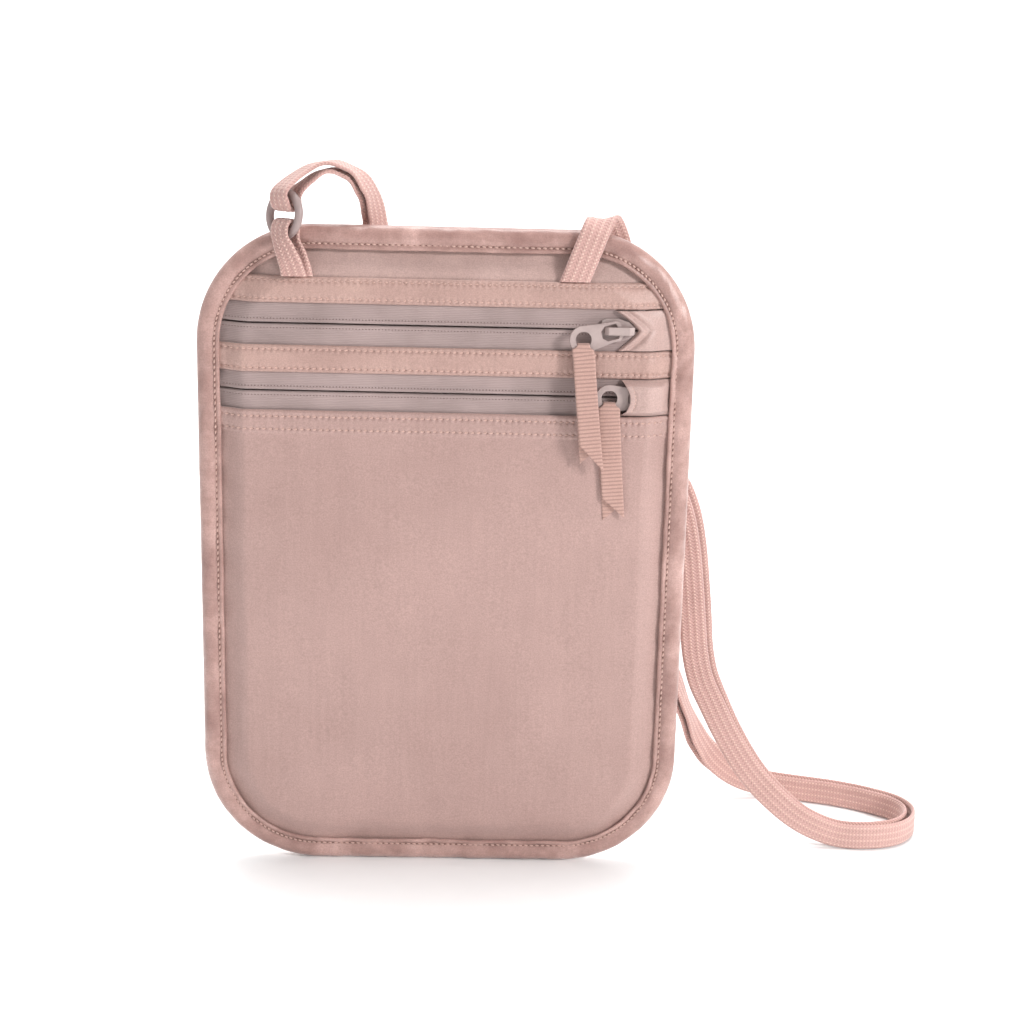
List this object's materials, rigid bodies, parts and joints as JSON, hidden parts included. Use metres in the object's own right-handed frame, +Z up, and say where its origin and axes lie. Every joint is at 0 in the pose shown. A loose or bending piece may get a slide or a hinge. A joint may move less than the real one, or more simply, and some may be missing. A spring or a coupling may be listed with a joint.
{
  "type": "neck pouch wallet",
  "caption": "Flat fabric neck pouch with zipped front and rear pockets, pull tabs with folded ribbons, bound edges and a flat braided neck strap through a small ring.",
  "frame": {"origin": "middle of the flat back of the pouch, the face that lies against the wearer's chest", "axes": "+Z up, +X to the right seen from the front, -Y out of the front; the back faces +Y"},
  "size_m": [0.2302, 0.0661, 0.2149],
  "materials": {
    "satin": "satin weave",
    "lining": "matte weave",
    "facing": "satin weave",
    "binding": "shiny satin",
    "zip_tape": "matte herringbone tape",
    "zip_coil": "satin nylon",
    "painted_metal": "satin enamel",
    "ribbon": "grosgrain",
    "braid": "flat hollow braid",
    "ring_plastic": "satin"
  },
  "bodies": {
    "pouch": {"back_panel": "satin", "front_panel": "satin", "top_panel": "satin", "pocket_divider": "lining", "upper_facing_strip": "facing", "middle_facing_strip": "facing", "edge_binding": "binding", "upper_zip_tape_top": "zip_tape", "upper_zip_tape_bottom": "zip_tape", "lower_zip_tape_top": "zip_tape", "lower_zip_tape_bottom": "zip_tape", "upper_zip_coil_top": "zip_coil", "upper_zip_coil_bottom": "zip_coil", "lower_zip_coil_top": "zip_coil", "lower_zip_coil_bottom": "zip_coil", "upper_zip_end_tab": "satin", "lower_zip_end_tab": "satin", "ring_tab": "braid", "neck_strap": "braid"},
    "upper_slider": {"upper_slider": "painted_metal"},
    "upper_pull": {"upper_pull_tab": "painted_metal"},
    "upper_ribbon": {"upper_ribbon_pull": "ribbon"},
    "lower_slider": {"lower_slider": "painted_metal"},
    "lower_pull": {"lower_pull_tab": "painted_metal"},
    "lower_ribbon": {"lower_ribbon_pull": "ribbon"},
    "ring": {"strap_ring": "ring_plastic"},
    "keeper": {"strap_keeper": "ring_plastic"}
  },
  "joints": [
    {"name": "upper_slide", "type": "slide", "parent": "pouch", "child": "upper_slider", "axis": [1, 0, 0], "range_m": [-0.102, 0]},
    {"name": "upper_flip", "type": "hinge", "parent": "upper_slider", "child": "upper_pull", "pos_m": [0.0502, -0.01215, 0.07045], "axis": [-0.2588, 0, 0.9659], "range_deg": [0, 110]},
    {"name": "upper_swing", "type": "hinge", "parent": "upper_pull", "child": "upper_ribbon", "pos_m": [0.03963, -0.0133, 0.06762], "axis": [0, 1, 0], "range_deg": [0, 35]},
    {"name": "lower_slide", "type": "slide", "parent": "pouch", "child": "lower_slider", "axis": [1, 0, 0], "range_m": [-0.11, 0]},
    {"name": "lower_flip", "type": "hinge", "parent": "lower_slider", "child": "lower_pull", "pos_m": [0.0588, -0.01215, 0.0505], "axis": [0, 0, 1], "range_deg": [0, 4]},
    {"name": "lower_swing", "type": "hinge", "parent": "lower_pull", "child": "lower_ribbon", "pos_m": [0.04781, -0.01253, 0.0505], "axis": [0, 1, 0], "range_deg": [-5, 0]},
    {"name": "ring_spin", "type": "hinge", "parent": "pouch", "child": "ring", "pos_m": [-0.0463, -0.0119, 0.1012], "axis": [-0.6626, -0.7359, 0.1392], "continuous": true},
    {"name": "keeper_slide", "type": "slide", "parent": "pouch", "child": "keeper", "axis": [0, 0, 1], "range_m": [-0.007, 0.004]}
  ]
}
